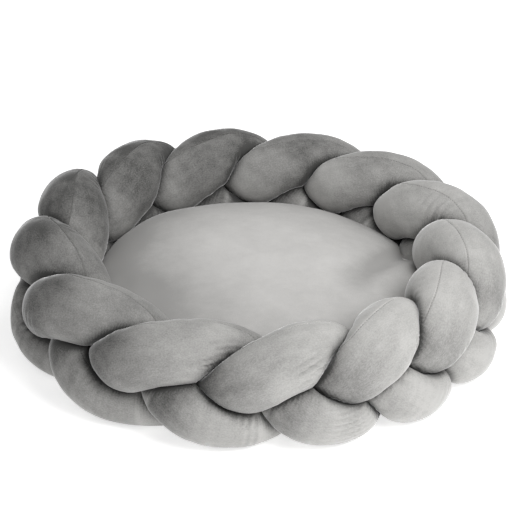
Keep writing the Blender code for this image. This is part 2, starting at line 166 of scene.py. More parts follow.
# Base cloth
BASE_RADIUS = 0.278
BASE_THICK = 1.1 * MM
BASE_HEM = 9 * MM
BASE_LOWEST = 0.1 * MM
BASE_COLUMNS = 240

# Cushion
SEAM_HEIGHT = 0.030
SEAM_RADIUS = 0.208
SEAM_GAP = 0.4 * MM  # from the seam's middle to each panel's edge
SEAM_FLAT = 0.0095  # upright margin where the zip lies
CROWN_HEIGHT = 0.117
BULGE_HEIGHT = 0.068
EDGE_ROUND = 0.8  # lower is a fuller edge below the bulge
CROWN_SHAPE = (3, 0.78)  # powers of the dome's profile
PRESSED_IN = 0.0045  # how deep the strands dent the cushion's edge
EDGE_VIEW = radians(9)  # of the wall that counts for the edge at one angle
EDGE_EVEN = 12  # columns to each side over which the edge is evened out
PRESS_ROUNDS = 14
COVER_GAP = 1.2 * MM  # least distance of the cushion's top panel from the velvet
PRESS_FROM = 0.17  # distance from the middle where the velvet may touch the panel
PRESS_MOST = 0.02
EVEN_FROM = 0.15  # the panel is evened out past here
EVEN_FADE = 0.05
EVEN_SHARE = 0.45
CUSHION_FLOOR = 2.5 * MM
UNDERSIDE_RADIUS = 0.190
CUSHION_COLUMNS = 312
SIDE_ROWS = 16
DOME_ROWS = 84
UNDER_ROWS = 34
PANEL = 1.2 * MM  # thickness of a cloth panel
FILLING_GAP = 4.5 * MM  # from the panels' outside to the fibre
CUSHION_LAY_AND_SHADE = 0.64  # value of the cushion's nap and painted shade in its middle; painted shade lowers it towards the wall
EDGE_SHADE = 0.33
LEFT_SHADE = 0.36  # painted shade on the cushion's left side, away from the light
# Valleys in the dome: (start, end), and the width and depth, or the width and painted shade
CUSHION_FOLD = ((0.212, 0.080), (0.130, -0.055))
FRONT_DENT = ((-0.175, -0.055), (-0.085, -0.105))
FOLD_SIZE = (0.017, 0.0150)
DENT_SIZE = (0.035, 0.0040)
FOLD_SHADE = (0.016, 0.46)
DENT_SHADE = (0.036, 0.22)
FOLD_SHADE_ASIDE = (0.005, 0.009)  # the fold's painted shade lies beside it
# Sunk and raised areas of the dome: (x, y, radius, height)
DOME_SWELLS = ((0.17, 0.13, 0.09, -0.007), (-0.15, 0.13, 0.09, 0.011))
ZIP_START = radians(38)
ZIP_SWEEP = radians(104)
COIL_PITCH = 1.4 * MM
COIL_STEPS = 9  # points in one turn
COIL_THREAD = 0.25 * MM
COIL_OUT = (1.1 * MM, 0.55 * MM)  # middle of the turns, off the panels, and their reach
COIL_UP = (1.25 * MM, 0.85 * MM)  # the same, from the seam's middle
COIL_ENDS = 0.0015  # radians of bare tape at each end
TAPE_WIDTH = 8.5 * MM
TAPE_THICK = 0.6 * MM
TAPE_GAP = 0.15 * MM  # from the seam's middle to each tape
ZIP_SEAM = 6.5 * MM  # from the seam's middle to the stitches that hold the tapes
PANEL_STITCH_SPACING = 2.2 * MM
PANEL_STITCH_REACH = 1.6 * MM
PANEL_STITCH_SLANT = 0.004  # radians round the cushion

# Shaders
SHEEN_ROUGHNESS = 0.27
CLOTH_SPECULAR = 0.2
METAL_SPECULAR = 0.5

# Studio
SKY = 0.40
FLOOR_GLOW = 0.6
FLOOR_SIZE = 60
# (name, place, diameter, watts)
SOFTBOXES = (("key_light", (0.62, -0.91, 1.12), 0.75, 12.2), ("top_light", (0.25, 0.42, 1.30), 0.8, 5.2))
LAMP_TARGET = (0, 0, 0.05)
CAMERA_TARGET = (0, 0, 0.06)
CAMERA_ELEVATION = radians(30.66)
CAMERA_DISTANCE = 3.14
CAMERA_LENS = 153.95
CAMERA_SHIFT = (-0.0045, 0.0586)


def waves(angle, terms):
    """Sum of sine and cosine waves round the ring."""
    return sum(s * np.sin(n * angle) + c * np.cos(n * angle) for n, s, c in terms)


def polar(radius, angle, height):
    """Points at a distance from the upright axis, an angle round it and a height."""
    return np.stack(np.broadcast_arrays(radius * np.cos(angle), radius * np.sin(angle), height), -1)


def plait_phase(line):
    """How far through its ups and downs a strand is, in radians."""
    return HUMPS / STRANDS * (line - FIRST_HUMP) + waves(line, UNEVEN_SPACING)


def strand_centre(line):
    """Centre of the strands at an angle along the line that goes round three times."""
    phase = plait_phase(line)
    up = (SWING_UP + waves(line, UNEVEN_SWING)) * np.sin(phase)
    out = SWING_OUT * np.sin(2 * phase)
    radius = RING_RADIUS + waves(line, UNEVEN_RADIUS) + out * cos(LEAN) + up * sin(LEAN)
    height = PLAIT_HEIGHT + waves(line, UNEVEN_HEIGHT) + up * cos(LEAN) - out * sin(LEAN)
    return polar(radius, line, height)


def lengths(vectors):
    return np.linalg.norm(vectors, axis=-1)


def unit(vectors):
    """Vectors of length one in the same directions."""
    return vectors / np.maximum(lengths(vectors), 1e-12)[..., None]


def section_frames(line):
    """Centre and outward, downward and forward directions of the strand's cross-sections."""
    centre = strand_centre(line)
    along = unit(strand_centre(line + 1e-4) - centre)
    radial = polar(1, line, 0)
    outward = unit(radial - (radial * along).sum(-1, keepdims=True) * along)
    return centre, outward, np.cross(along, outward), along


LINE_SAMPLES = np.linspace(0, LINE_END, 1080, endpoint=False)
CENTRE_SAMPLES = strand_centre(LINE_SAMPLES)


def angle_gap(angle, place):
    """How far round the circle an angle lies past a place, up to half a turn, with its sign."""
    return (angle - place + pi) % TURN - pi


def line_gap(line, place):
    """The same along the strands' line, which closes after three turns."""
    return (line - place + LINE_END / 2) % LINE_END - LINE_END / 2


def room_table(line, centre, outward, downward):
    """How far a strand can swell in each direction before it meets another one, or the base."""
    angle = np.arange(LIMIT_COLUMNS) * TURN / LIMIT_COLUMNS
    room = np.full((len(line), LIMIT_COLUMNS), 1.0)
    for i, position in enumerate(line):
        facing = outward[i] * np.cos(angle)[:, None] + downward[i] * np.sin(angle)[:, None]
        others = CENTRE_SAMPLES[np.abs(line_gap(LINE_SAMPLES, position)) > SKIP] - centre[i]
        distance = lengths(others)
        near = distance < NEIGHBOUR_REACH
        others, distance = others[near], distance[near]
        toward = facing @ (others / distance[:, None]).T
        halfway = (distance - TOUCH_GAP) / 2
        in_way = toward > LEAST_FACING
        room[i] = np.where(in_way, halfway / np.maximum(toward, LEAST_FACING), 1.0).min(axis=1)
        drop = np.maximum(-facing[:, 2], LEAST_FACING)
        room[i] = np.minimum(room[i], (centre[i, 2] - FLOOR_CLEAR) / drop)
    return room


def join_positions():
    """Angles along the line where one strand's end is sewn to the next one's start."""
    line = np.linspace(0, LINE_END, 36000, endpoint=False)
    turns = (plait_phase(line) - JOIN_PHASE) / TURN
    dives = line[1:][np.floor(turns[1:]) > np.floor(turns[:-1])]
    first = int(np.argmin(np.abs(angle_gap(dives, FIRST_JOIN))))
    places = [first + humps for humps in HUMPS_BEFORE_JOIN]
    return [dives[place % HUMPS] + LINE_END * (place // HUMPS) for place in places]


JOINS = join_positions()


def free_share(line):
    """Share of its full width that the velvet has, which drops where an end is gathered."""
    share = np.ones_like(line)
    for join in JOINS:
        share -= (1 - NECK) * np.exp(-(line_gap(line, join) / NECK_LENGTH) ** 2)
    return share


def free_radius(line, angle):
    """Radius of a strand where nothing presses on it: lumpy, and gathered at the joins."""
    phase = line * HUMPS / STRANDS
    lumps = sum(share * np.sin(along * phase + start)[:, None] * np.cos(round_it * angle + turned)
                for share, along, start, round_it, turned in BROAD_LUMPS)
    return STRAND_RADIUS * (1 + lumps) * free_share(line)[:, None]


def look_up(table, row, angle):
    """Value of a periodic table at each row and angle."""
    place = (angle % TURN) / TURN * table.shape[1]
    low = np.floor(place).astype(int)
    share = place - low
    low %= table.shape[1]
    return table[row, low] * (1 - share) + table[row, (low + 1) % table.shape[1]] * share


# ---------------- velvet as cloth

def pull_together(points, axis, rest):
    """Move neighbours along one grid axis towards their rest distance, every other pair at once."""
    points, rest = np.moveaxis(points, axis, 0), np.moveaxis(rest, axis, 0)
    for start in (0, 1):
        index = np.arange(start, len(points), 2)
        after = (index + 1) % len(points)
        gap = points[after] - points[index]
        distance = np.maximum(lengths(gap), 1e-9)
        move = gap * (STRETCH_HOLD * 0.5 * (distance - rest[index]) / distance)[..., None]
        points[index] += move
        points[after] -= move


def hold_apart(points, axis, step, rest, stiffness):
    """Keep points a few places apart at least a share of their flat distance: the cloth's bending."""
    far = np.roll(points, -step, axis=axis)
    gap = far - points
    distance = np.maximum(lengths(gap), 1e-9)
    error = np.minimum(distance - rest, 0)
    move = gap * (stiffness * 0.5 * error / distance)[..., None]
    points += move
    points -= np.roll(move, step, axis=axis)


def grid_normals(points):
    """Outward directions of a tube's surface, whose rows and columns both close."""
    along = np.roll(points, -1, axis=0) - np.roll(points, 1, axis=0)
    around = np.roll(points, -1, axis=1) - np.roll(points, 1, axis=1)
    return unit(np.cross(around, along))


def from_centre(points, centre, outward, downward, along):
    """Points as their slip along the strand, their offset square to it, its length and angle."""
    offset = points - centre[:, None]
    slip = (offset * along[:, None]).sum(-1, keepdims=True) * along[:, None]
    flat = offset - slip
    angle = np.arctan2((flat * downward[:, None]).sum(-1), (flat * outward[:, None]).sum(-1))
    return slip, flat, lengths(flat), angle


def relax_velvet(points, line, frames, room):
    """Cloth simulation of the closed tube: it is cut straight, blown up and held by its neighbours."""
    centre = frames[0]
    rows = np.arange(len(line))[:, None]
    start = points.copy()
    straight = lengths(np.roll(centre, -1, axis=0) - centre)[:, None]
    bent = lengths(np.roll(points, -1, axis=0) - points)
    rest_along = CUT_ALONG[0] * bent + CUT_ALONG[1] * np.broadcast_to(straight, bent.shape)
    around = TURN * STRAND_RADIUS / COLUMNS
    drawn = lengths(np.roll(points, -1, axis=1) - points)
    rest_around = CUT_AROUND[0] * drawn + CUT_AROUND[1] * around * free_share(line)[:, None]
    for step in range(CLOTH_STEPS):
        points += grid_normals(points) * PRESSURE
        for _ in range(2):
            pull_together(points, 0, rest_along)
            pull_together(points, 1, rest_around)
            for axis, rest, (apart, least, stiffness) in ((0, rest_along, BEND_ALONG),
                                                          (1, rest_around, BEND_AROUND)):
                hold_apart(points, axis, apart, least * rest, stiffness)
        if step % EVEN_EVERY == 0:
            near = (np.roll(points, 1, 0) + np.roll(points, -1, 0)
                    + np.roll(points, 1, 1) + np.roll(points, -1, 1)) / 4
            points += EVEN_OUT * (near - points)
        slip, flat, radius, angle = from_centre(points, *frames)
        allowed = np.minimum(radius, look_up(room, rows, angle))
        points = centre[:, None] + slip * SLIP_KEPT + flat * (allowed / radius)[..., None]
        moved = points - start
        points = start + moved * np.minimum(1, FARTHEST / np.maximum(lengths(moved), 1e-9))[..., None]
    return points


def velvet_grid():
    """Points of the whole velvet line, as a grid of rows along it and columns round it."""
    rows = HUMPS * ROWS_PER_HUMP
    line = np.arange(rows) * LINE_END / rows
    angle = np.arange(COLUMNS) * TURN / COLUMNS
    frames = section_frames(line)
    centre, outward, downward, _ = frames
    room = room_table(line, centre, outward, downward)
    free = free_radius(line, angle)
    limit = look_up(room, np.arange(rows)[:, None], np.broadcast_to(angle, free.shape))
    radius = (free ** -SOFT_CORNER + limit ** -SOFT_CORNER) ** (-1 / SOFT_CORNER)
    facing = (outward[:, None] * np.cos(angle)[None, :, None]
              + downward[:, None] * np.sin(angle)[None, :, None])
    points = centre[:, None] + facing * radius[..., None]
    points = relax_velvet(points, line, frames, room)
    return points, room


# ---------------- velvet as sewn

def rise(t):
    """Ridges with narrow valleys between them, one for each whole number."""
    return 1 - 2 * (0.5 + 0.5 * np.cos(TURN * t)) ** 3


def seam_angle(line):
    """Where the long seam runs round the strand: on top of each hump, lower on the outside."""
    wander = 3 * np.sin(2.3 * line + 0.7) + 3 * np.sin(line / 3)
    return np.radians(283 - 24 * np.sin(plait_phase(line)) + wander)


def hump_gathers():
    """Gathers that come back at each hump, some weak and some strong, listed as STRONG_GATHERS."""
    chance = np.random.default_rng(11)
    line = np.linspace(0, LINE_END, 9000, endpoint=False)
    phase = plait_phase(line)
    made = []
    for hump in range(HUMPS):
        for degrees, angle, way, long, wide, fold, height in HUMP_GATHERS:
            shift, turn, power = chance.normal(size=3)
            goal = radians(degrees + GATHER_SCATTER[0] * shift) + TURN * hump
            goal = phase[0] + (goal - phase[0]) % (TURN * HUMPS)
            place = line[np.argmin(np.abs(phase - goal))]
            middle = angle + GATHER_SCATTER[1] * turn
            strength = GATHER_STRENGTH[0] + GATHER_STRENGTH[1] * np.clip(power, -1, 1.5)
            made.append((place, middle, way, long, wide, fold, height * strength))
    return made


def gather_relief(line, angle):
    """Height of the pleats over the smooth velvet, at each row and column."""
    relief = np.zeros(angle.shape)
    for place, middle, way, *sizes in hump_gathers() + list(STRONG_GATHERS):
        long, wide, fold, height = (size * MM for size in sizes)
        along = line_gap(line, place) * LENGTH_PER_RADIAN
        rows = np.abs(along) < 2.5 * long
        run = along[rows][:, None]
        across = angle_gap(angle[rows], radians(middle)) * STRAND_RADIUS
        cover = np.exp(-(run / long) ** 2 - (across / wide) ** 2)
        if way == "lengthways":
            folds = (across + LENGTHWAYS_SLANT * run) / fold
        else:
            folds = (run + CROSSWAYS_SLANT * across) / fold
        relief[rows] += GATHER_LIFT * height * cover * rise(folds)
    for join in JOINS:
        run = (line_gap(line, join) * LENGTH_PER_RADIAN)[:, None]
        drawn = np.exp(-(run / JOIN_PLEAT_LENGTH) ** 2)
        relief += JOIN_PLEAT_HEIGHT * drawn * rise(angle * JOIN_PLEATS / TURN)
        relief -= JOIN_DEPTH * np.exp(-(run / JOIN_WIDTH) ** 2)
    return relief


def soft_lumps(line, angle):
    """Gentle unevenness of the fibre under the velvet."""
    run = (line * LENGTH_PER_RADIAN)[:, None]
    drift, times = LUMP_DRIFT
    relief = np.zeros(angle.shape)
    for size, height, turns, start in SMALL_LUMPS:
        waves_along = round(LINE_END * LENGTH_PER_RADIAN / size)
        swell = np.sin(waves_along * line / STRANDS + drift * np.sin(line / STRANDS * times + start))
        relief += height * swell[:, None] * np.cos(turns * angle + start + 0.05 * run)
    return relief


def smooth_rows(grid):
    """Twice as many rows, on smooth curves through the old ones."""
    before, after = np.roll(grid, 1, 0), np.roll(grid, -1, 0)
    beyond = np.roll(grid, -2, 0)
    between = (9 * (grid + after) - before - beyond) / 16
    return np.stack([grid, between], 1).reshape(-1, *grid.shape[1:])


def smooth_columns(grid, place):
    """Points at any place round each row, on smooth curves through the grid's own columns."""
    rows = np.arange(len(grid))[:, None]
    low = np.floor(place).astype(int)
    t = (place - low)[..., None]
    a, b, c, d = (grid[rows, (low + k) % grid.shape[1]] for k in (-1, 0, 1, 2))
    return b + 0.5 * t * (c - a + t * (2 * a - 5 * b + 4 * c - d + t * (3 * (b - c) + d - a)))


def sewn_velvet(points, room):
    """The velvet's fine surface, its columns counted from the long seam.

    Gives the line, the points, the cloth's metres round the strand, and how near the creases are.
    """
    points = smooth_rows(points)
    line = np.arange(len(points)) * LINE_END / len(points)
    width = TURN * STRAND_RADIUS
    near = np.array(SEAM_COLUMNS)
    outside, inside = FINE_SIDES
    outer = np.arange(near[-1] + FINE_STEP, outside, FINE_STEP)
    under = np.arange(outside, width - inside, PLAIN_STEP)
    inner = np.arange(width - inside, width - near[-1] - FINE_STEP / 2, FINE_STEP)
    across = np.concatenate([near, outer, under, inner, width - near[:0:-1]])
    angle = seam_angle(line)[:, None] + across / STRAND_RADIUS
    grid = smooth_columns(points, angle / TURN * COLUMNS)
    aside = np.minimum(across, width - across)
    stitch_run = (line * LENGTH_PER_RADIAN)[:, None] / STITCH_SPACING
    ridge, ridge_place, ridge_width = ALLOWANCE
    pull, pull_width = STITCH_PULL
    seam = (-SEAM_DEPTH * np.exp(-(aside / SEAM_WIDTH) ** 2)
            + ridge * np.exp(-((aside - ridge_place) / ridge_width) ** 2)
            + pull * np.cos(TURN * stitch_run) * np.exp(-(aside / pull_width) ** 2))
    relief = gather_relief(line, angle) + soft_lumps(line, angle) + seam
    grid = grid + grid_normals(grid) * relief[..., None]
    grid, crease = keep_apart(line, grid, room)
    return line, grid, across, crease


def keep_apart(line, grid, room):
    """Hold the finished velvet off the neighbouring strands: points, and how near the creases are."""
    centre, *directions = section_frames(line)
    room = np.stack([room, np.minimum(room, np.roll(room, -1, 0))], 1).reshape(-1, LIMIT_COLUMNS)
    slip, flat, radius, angle = from_centre(grid, centre, *directions)
    limit = look_up(room, np.arange(len(line))[:, None], angle)
    held = np.minimum(radius, limit)
    points = centre[:, None] + slip + flat * (held / radius)[..., None]
    # The second value sets the painted crease shade on velvet near its neighbours.
    return points, np.exp((held - limit) / CREASE_REACH)


# ---------------- meshes

def add_mesh(name, vertices, faces, body, slot, material, cloth=None, nap_and_shade=None):
    """A smooth mesh object that rides on a body.

    cloth gives face corners their place on the cloth; nap_and_shade gives vertices the pile's lay and
    painted shade.
    """
    mesh = bpy.data.meshes.new(name)
    mesh.from_pydata(vertices.tolist(), [], faces)
    if cloth is not None:
        layer = mesh.uv_layers.new(name="cloth")
        layer.data.foreach_set("uv", np.asarray(cloth, dtype=np.float32).ravel())
    if nap_and_shade is not None:
        mesh.attributes.new("nap_and_shade", "FLOAT", "POINT").data.foreach_set("value", nap_and_shade.ravel())
    mesh.shade_smooth()
    mesh.materials.append(material)
    piece = bpy.data.objects.new(name, mesh)
    bpy.context.collection.objects.link(piece)
    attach(piece, body)
    return piece


def grid_quads(rows, columns, closed_rows=False):
    """Corner numbers of the quads of a grid whose columns go right round."""
    row = np.arange(rows if closed_rows else rows - 1)[:, None]
    column = np.arange(columns)[None, :]
    near, far = row * columns, (row + 1) % rows * columns
    after = (column + 1) % columns
    return np.stack([near + column, near + after, far + after, far + column], -1).reshape(-1, 4)


def tube_faces(rows, columns):
    """Quads of a tube of rings, and a cap at each of its ends."""
    first = list(range(columns))
    last = [(rows - 1) * columns + k for k in first]
    return grid_quads(rows, columns).tolist() + [first[::-1], last]


def quad_cloth(along, across):
    """Cloth coordinates for the corners of grid_quads; across has one more column, past the wrap."""
    u, v = np.broadcast_arrays(along[:, None], across)
    grid = np.stack([u, v], -1)
    corners = grid[:-1, :-1], grid[:-1, 1:], grid[1:, 1:], grid[1:, :-1]
    return np.stack(corners, 2).reshape(-1, 2)


def thread_tube(path, radius, sides=6):
    """Points and faces of a thread along a path, thinner at its two ends."""
    along = unit(np.gradient(path, axis=0))
    helper = np.where(np.abs(along[:, 2:]) < 0.9, (0.0, 0.0, 1.0), (1.0, 0.0, 0.0))
    side = unit(np.cross(along, helper))
    other = np.cross(along, side)
    turn = np.arange(sides) * TURN / sides
    share = np.linspace(-1, 1, len(path))
    thick = radius * np.sqrt(np.maximum(1 - share ** 6, 0.1))
    rings = path[:, None] + thick[:, None, None] * (side[:, None] * np.cos(turn)[:, None]
                                                    + other[:, None] * np.sin(turn)[:, None])
    return rings.reshape(-1, 3), tube_faces(len(path), sides)


def join_tubes(tubes):
    """One list of points and faces from many."""
    points, faces, count = [], [], 0
    for some, corners in tubes:
        points.append(some)
        faces += [[k + count for k in face] for face in corners]
        count += len(some)
    return np.concatenate(points), faces


# ---------------- materials

class Nodes:
    """A material's node tree, with short ways to add to it."""

    def __init__(self, name, roughness, sheen=0.0, metallic=0.0):
        self.material = bpy.data.materials.new(name)
        self.material.use_nodes = True
        self.tree = self.material.node_tree
        self.shader = self.tree.nodes["Principled BSDF"]
        specular = METAL_SPECULAR if metallic else CLOTH_SPECULAR
        for socket, value in (("Roughness", roughness), ("Metallic", metallic), ("Sheen Weight", sheen),
                              ("Sheen Roughness", SHEEN_ROUGHNESS), ("Specular IOR Level", specular)):
            self.shader.inputs[socket].default_value = value

    def add(self, kind, **settings):
        node = self.tree.nodes.new(kind)
        for key, value in settings.items():
            if key.startswith("in_"):
                node.inputs[key[3:].replace("_", " ")].default_value = value
            else:
                setattr(node, key, value)
        return node

    def place(self, scale, on_cloth=True):
        """Cloth metres (or the piece's own space), stretched by a scale for each direction."""
        source = self.add("ShaderNodeUVMap", uv_map="cloth") if on_cloth else \
            self.add("ShaderNodeTexCoord")
        mapping = self.add("ShaderNodeMapping", in_Scale=scale)
        self.tree.links.new(source.outputs["UV" if on_cloth else "Object"], mapping.inputs["Vector"])
        return mapping.outputs["Vector"]

    def noise(self, scale, detail, rough, on_cloth=True):
        node = self.add("ShaderNodeTexNoise", in_Scale=1.0, in_Detail=detail, in_Roughness=rough)
        self.tree.links.new(self.place(scale, on_cloth), node.inputs["Vector"])
        return node.outputs["Fac"]

    def bands(self, scale, direction, on_cloth):
        """Rounded stripes, one for each metre times the scale."""
        node = self.add("ShaderNodeTexWave", wave_type="BANDS", bands_direction=direction,
                        in_Scale=pi / 10)
        self.tree.links.new(self.place((scale, scale, scale), on_cloth), node.inputs["Vector"])
        return node.outputs["Fac"]

    def maths(self, operation, first, second):
        node = self.add("ShaderNodeMath", operation=operation)
        for socket, value in zip(node.inputs, (first, second)):
            if isinstance(value, (int, float)):
                socket.default_value = value
            else:
                self.tree.links.new(value, socket)
        return node.outputs[0]

    def mixture(self, shares):
        """Weighted sum of (share, output) pairs."""
        total = 0.0
        for share, output in shares:
            total = self.maths("ADD", self.maths("MULTIPLY", output, share), total)
        return total

    def colour(self, factor, dark, light, low=0.3, high=0.7):
        ramp = self.add("ShaderNodeValToRGB")
        ramp.color_ramp.elements[0].position, ramp.color_ramp.elements[1].position = low, high
        ramp.color_ramp.elements[0].color = (*dark, 1)
        ramp.color_ramp.elements[1].color = (*light, 1)
        self.tree.links.new(factor, ramp.inputs["Fac"])
        self.tree.links.new(ramp.outputs["Color"], self.shader.inputs["Base Color"])

    def bump(self, layers):
        """Bumps laid over each other: (height, strength, distance)."""
        normal = None
        for height, strength, distance in layers:
            node = self.add("ShaderNodeBump", in_Strength=strength, in_Distance=distance)
            self.tree.links.new(height, node.inputs["Height"])
            if normal:
                self.tree.links.new(normal, node.inputs["Normal"])
            normal = node.outputs["Normal"]
        self.tree.links.new(normal, self.shader.inputs["Normal"])


def velvet_material(name, dark, light, sheen, shares):
    """Short plush whose nap lies this way and that, with a fine grain; its nap attribute also carries
    painted light and shade.

    shares say how much the nap with its painted shade, its patches, strokes, grain and pile count, and add
    up to 1.
    """
    nodes = Nodes(name, 0.85, sheen)
    # This attribute holds painted light and shade as well as the pile's lay.
    lay_and_shade = nodes.add("ShaderNodeAttribute", attribute_name="nap_and_shade").outputs["Fac"]
    patches = nodes.noise((14, 16, 1), 4, 0.6)
    strokes = nodes.noise((65, 90, 1), 4, 0.65)
    grain = nodes.noise((1300, 1300, 1), 2, 0.7)
    pile = nodes.noise((520, 600, 1), 3, 0.75)
    nodes.colour(nodes.mixture(zip(shares, (lay_and_shade, patches, strokes, grain, pile))), dark, light, 0.36, 0.64)
    nodes.bump(((strokes, 0.13, 0.0012), (pile, 0.25, 0.0006), (grain, 0.25, 0.0003)))
    return nodes.material


def weave_material(name, dark, light, threads, on_cloth=True):
    """Plain weave: stripes across stripes."""
    nodes = Nodes(name, 0.8, 0.25)
    warp = nodes.bands(threads, "X", on_cloth)
    weft = nodes.bands(threads, "Y", on_cloth)
    weave = nodes.maths("MAXIMUM", nodes.maths("MULTIPLY", warp, 0.9), weft)
    wear = nodes.noise((25, 25, 25), 3, 0.6, on_cloth)
    nodes.colour(nodes.mixture(((0.5, weave), (0.5, wear))), dark, light)
    nodes.bump(((weave, 0.5, 0.0003),))
    return nodes.material


def spun_material(name, dark, light, scale, roughness, sheen=0.3):
    """Thread, fibre and moulded coil: a grain in the piece's own space."""
    nodes = Nodes(name, roughness, sheen)
    grain = nodes.noise((scale,) * 3, 3, 0.65, on_cloth=False)
    patches = nodes.noise((scale / 20,) * 3, 2, 0.5, on_cloth=False)
    nodes.colour(nodes.mixture(((0.5, grain), (0.5, patches))), dark, light)
    nodes.bump(((grain, 0.4, 0.0003),))
    return nodes.material


def metal_material(name):
    nodes = Nodes(name, 0.34, metallic=1.0)
    scuffs = nodes.noise((900, 2500, 900), 3, 0.6, on_cloth=False)
    stains = nodes.noise((140, 140, 140), 2, 0.5, on_cloth=False)
    nodes.colour(nodes.mixture(((0.5, scuffs), (0.5, stains))), (0.36, 0.36, 0.37), (0.62, 0.62, 0.63))
    nodes.bump(((scuffs, 0.15, 0.0001),))
    return nodes.material


# ---------------- strands

def row_stretch(rows, first, last):
    """Row numbers from one to another along the closed line."""
    return np.arange(first, last + (rows if last <= first else 0) + 1) % rows


def build_strands(velvet, fibre, thread):
    """The three velvet strands with their filling, long seams and the stitches where they join."""
    coarse, room = velvet_grid()
    line, grid, across, crease = sewn_velvet(coarse, room)
    normals = grid_normals(grid)
    rows, columns = grid.shape[:2]
    cuts = [int(round(join / LINE_END * rows / 2)) * 2 for join in JOINS]
    around = np.append(across, TURN * STRAND_RADIUS)
    forward = unit(np.roll(grid[:, :1], -1, 0) - np.roll(grid[:, :1], 1, 0))
    # Painted light and shade: lighter or darker by the way the strand runs (partly the pile's lay), and
    # painted shade in the creases by the other strands.
    lay_and_shade = 0.5 + 0.5 * (forward @ unit(np.array(PILE_AND_PAINTED_LIGHT))) - CREASE_SHADE * crease
    for number in range(STRANDS):
        index = row_stretch(rows, cuts[number], cuts[(number + 1) % STRANDS])
        count = len(index)
        cloth = quad_cloth(np.arange(count) * LINE_END * LENGTH_PER_RADIAN / rows, around)
        cloth = np.concatenate([cloth, np.zeros((2 * columns, 2))])
        tube = add_mesh(f"strand_{number + 1}_velvet", grid[index].reshape(-1, 3),
                        tube_faces(count, columns), "ring", "strand_velvet", velvet, cloth, lay_and_shade[index])
        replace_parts(tube, f"strand_{number + 1}_velvet_tube")
        build_filling(number, coarse, index, fibre)
        build_long_seam(number, grid, normals, index, thread)
        build_join(number, grid, normals, cuts[number], thread)
    return grid


def build_filling(number, coarse, index, fibre):
    """The fibre inside one strand."""
    core = (coarse - grid_normals(coarse) * VELVET_THICK)[:, ::2]
    core = core[index[FILLING_STEP:-FILLING_STEP:FILLING_STEP] // 2]
    piece = add_mesh(f"strand_{number + 1}_filling", core.reshape(-1, 3), tube_faces(*core.shape[:2]),
                     "ring", "polyester_fibre", fibre)
    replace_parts(piece, f"strand_{number + 1}_fibre_filling")


def build_long_seam(number, grid, normals, index, thread):
    """Running stitches in the groove of one tube's long seam."""
    path = grid[index, 0] + normals[index, 0] * THREAD_LIFT
    run = np.concatenate([[0], np.cumsum(lengths(np.diff(path, axis=0)))])
    stitches = []
    for start in np.arange(THREAD_ENDS[0], run[-1] - THREAD_ENDS[1], STITCH_SPACING):
        steps = start + np.linspace(0, STITCH_LENGTH, 4)
        stitch = np.stack([np.interp(steps, run, path[:, k]) for k in range(3)], -1)
        stitches.append(thread_tube(stitch, THREAD_RADIUS, 5))
    add_mesh(f"strand_{number + 1}_seam_thread", *join_tubes(stitches), "ring", "sewing_thread", thread)


def build_join(number, grid, normals, cut, thread):
    """Whip stitches over the line where two strands' ends meet."""
    rows, columns = grid.shape[:2]
    margin = len(SEAM_COLUMNS) - 1
    steps = np.linspace(-1, 1, 2 * WHIP_ROWS + 1)
    row = (cut + np.round(WHIP_ROWS * steps).astype(int)) % rows
    lift = WHIP_LIFT[0] - WHIP_LIFT[0] * steps ** 2 + WHIP_LIFT[1]
    stitches = []
    for k in range(WHIP_STITCHES):
        column = margin + (columns - 2 * margin) * (k + 0.5) / WHIP_STITCHES
        side = np.round(column + WHIP_SLANT * steps).astype(int)
        stitches.append(thread_tube(grid[row, side] + normals[row, side] * lift[:, None], WHIP_THREAD))
    piece = add_mesh(f"strand_join_{number + 1}_stitches", *join_tubes(stitches), "ring",
                     "sewing_thread", thread)
    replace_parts(piece, f"strand_join_{number + 1}_stitching")


# ---------------- base cloth

def build_base(cloth):
    """The cloth disc under ring and cushion, with a turned hem."""
    angle = np.arange(BASE_COLUMNS) * TURN / BASE_COLUMNS
    radius, hem = BASE_RADIUS, BASE_RADIUS - BASE_HEM
    top = [(r, 1.75 * MM if r > hem else 1.2 * MM)
           for r in (0.004, *np.linspace(0.02, hem - 1 * MM, 26), hem + 0.4 * MM,
                     radius - 3 * MM, radius - 0.7 * MM)]
    edge = [(radius, 1.3 * MM), (radius, 0.5 * MM), (radius - 0.6 * MM, BASE_LOWEST)]
    under = [(r, max(z - BASE_THICK, BASE_LOWEST) if r < hem else BASE_LOWEST) for r, z in top[:-1]]
    profile = np.array(top + edge + under[::-1])
    swell = 0.05 * MM * np.sin(9 * angle)[None] * np.sin(profile[:, :1] * 90)
    rings = polar(profile[:, :1], angle, profile[:, 1:] + swell)
    faces = tube_faces(*rings.shape[:2])
    flat = rings[..., :2].reshape(-1, 2)
    piece = add_mesh("base_cloth_disc", rings.reshape(-1, 3), faces, "ring", "base_cloth", cloth,
                     np.concatenate([flat[np.array(face)] for face in faces]))
    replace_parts(piece, "base_cloth")


# ---------------- cushion

def zip_share(angle):
    """1 along the zip, 0 elsewhere, with a soft change at its ends."""
    beside = np.abs(angle_gap(angle, ZIP_START + ZIP_SWEEP / 2)) - ZIP_SWEEP / 2
    return np.clip(1 - beside / radians(5), 0, 1)


def hollow(x, y, start, end, width, depth):
    """A valley in the dome from one place to another, (x, y), narrow at its start; also gives the painted
    shade along it.
    """
    start, end = np.array(start), np.array(end)
    way = end - start
    share = np.clip(((x - start[0]) * way[0] + (y - start[1]) * way[1]) / (way @ way), -0.15, 1)
    gap = np.hypot(x - start[0] - share * way[0], y - start[1] - share * way[1])
    return depth * np.exp(-(gap / (width * (0.7 + 0.8 * share))) ** 2) * (1 - 0.55 * share)


